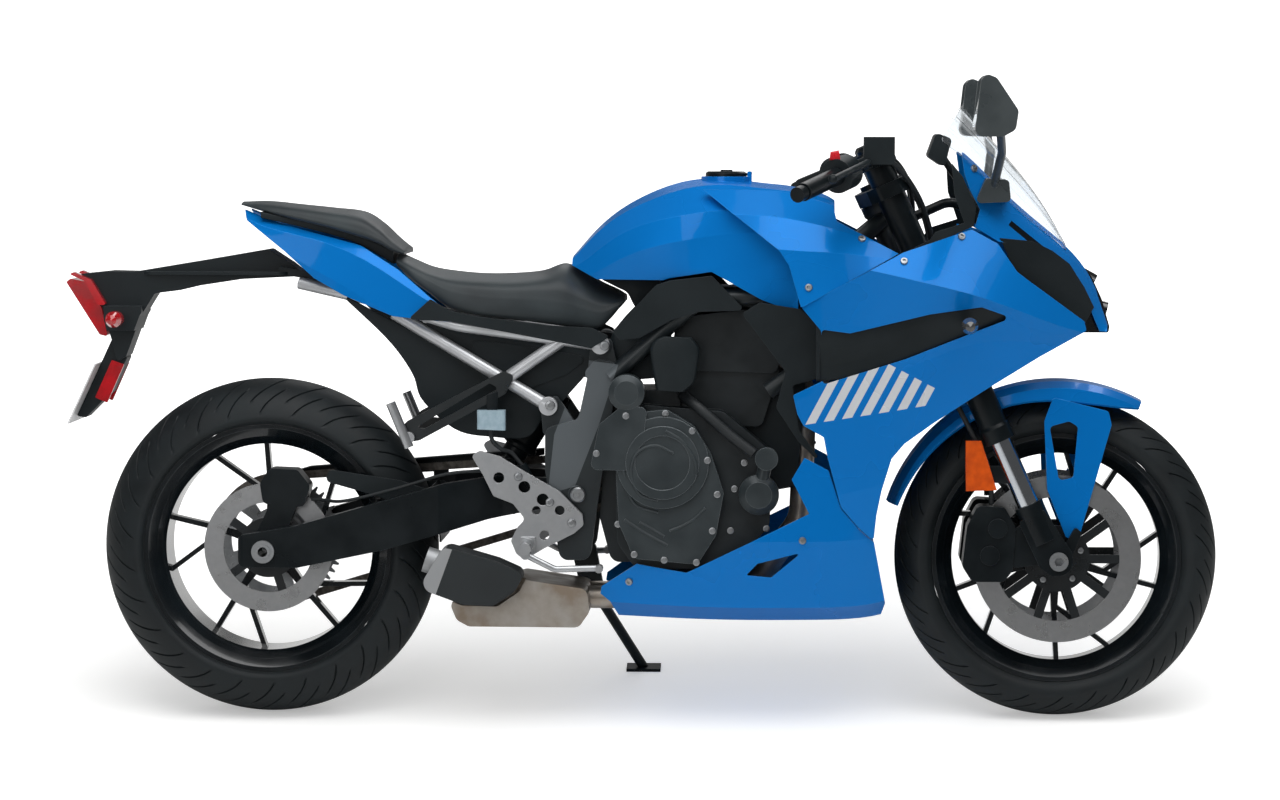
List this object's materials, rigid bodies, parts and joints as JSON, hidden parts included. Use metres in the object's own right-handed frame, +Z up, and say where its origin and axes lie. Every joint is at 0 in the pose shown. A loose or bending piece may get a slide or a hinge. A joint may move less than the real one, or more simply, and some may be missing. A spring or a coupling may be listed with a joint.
{
  "type": "sport motorcycle",
  "caption": "Faired sport motorcycle parked on its side stand, with turning wheels, steering, a folding stand and a hinged fuel cap.",
  "frame": {"origin": "on the ground, under the middle of the bike's bounding box as it stands leaning on its side stand", "axes": "+X towards the front wheel, +Y to the rider's left, +Z up"},
  "size_m": [2.1429, 0.8393, 1.2409],
  "materials": {
    "amber_lens": "gloss",
    "black_metal": "satin",
    "black_plastic": "matte",
    "black_wheel": "gloss",
    "blue_paint": "gloss",
    "brake_steel": "satin",
    "chain_steel": "satin",
    "chrome": "gloss",
    "dark_frame": "satin",
    "engine_black": "satin",
    "engine_grey": "satin",
    "grey_aluminium": "satin",
    "heated_steel": "satin",
    "lamp_glass": "gloss",
    "plate_white": "matte",
    "radiator_black": "matte",
    "red_lens": "gloss",
    "screen": "clear",
    "seat_cover": "matte",
    "silver_frame": "satin",
    "steel": "satin",
    "tyre": "matte"
  },
  "bodies": {
    "chassis": {"main_frame": "dark_frame", "swingarm": "black_metal", "rear_axle": "steel", "rear_caliper": "black_metal", "chain": "chain_steel", "engine_block": "engine_black", "engine_covers": "engine_grey", "exhaust_pipes": "heated_steel", "muffler": "black_metal", "rear_shock": "steel", "subframe": "silver_frame", "fuel_tank": "blue_paint", "pillion_seat": "seat_cover", "rider_seat": "seat_cover", "tail_fairing": "blue_paint", "tail_tray": "black_plastic", "rear_lamps": "red_lens", "number_plate": "plate_white", "side_covers": "black_plastic", "side_fairings": "blue_paint", "tank_shrouds": "blue_paint", "nose_cowl": "blue_paint", "inner_panels": "black_plastic", "headlight": "lamp_glass", "windscreen": "screen", "dash_panel": "black_plastic", "nose_bracket": "black_metal", "front_signals": "amber_lens", "mirrors": "black_plastic", "belly_pan": "blue_paint", "radiator": "radiator_black", "footrests": "silver_frame", "chain_guard": "black_plastic"},
    "steering": {"triple_clamps": "grey_aluminium", "fork_legs": "black_metal", "fork_tubes": "chrome", "front_axle": "steel", "front_calipers": "black_metal", "handlebars": "black_metal", "hand_controls": "black_plastic", "front_fender": "blue_paint"},
    "front_wheel": {"front_tyre": "tyre", "front_rim": "black_wheel", "front_discs": "brake_steel"},
    "rear_wheel": {"rear_tyre": "tyre", "rear_rim": "black_wheel", "rear_disc": "brake_steel", "rear_sprocket": "brake_steel"},
    "side_stand": {"side_stand": "black_metal"},
    "fuel_cap": {"fuel_cap": "grey_aluminium"}
  },
  "joints": [
    {"name": "steering", "type": "hinge", "parent": "chassis", "child": "steering", "pos_m": [0.47594, -0.02806, 0.86642], "axis": [-0.4099, 0.1584, 0.8983], "range_deg": [-28, 28]},
    {"name": "front_wheel_spin", "type": "hinge", "parent": "steering", "child": "front_wheel", "pos_m": [0.77249, -0.12866, 0.29587], "axis": [0, 0.9848, -0.1736], "continuous": true},
    {"name": "rear_wheel_spin", "type": "hinge", "parent": "chassis", "child": "rear_wheel", "pos_m": [-0.69251, -0.12623, 0.30966], "axis": [0, 0.9848, -0.1736], "continuous": true},
    {"name": "side_stand_fold", "type": "hinge", "parent": "chassis", "child": "side_stand", "pos_m": [-0.09251, 0.00198, 0.18449], "axis": [0, 0.9744, 0.225], "range_deg": [0, 98]},
    {"name": "fuel_cap_lid", "type": "hinge", "parent": "chassis", "child": "fuel_cap", "pos_m": [0.20149, -0.00537, 0.99508], "axis": [0, 0.9848, -0.1736], "range_deg": [0, 80]}
  ]
}
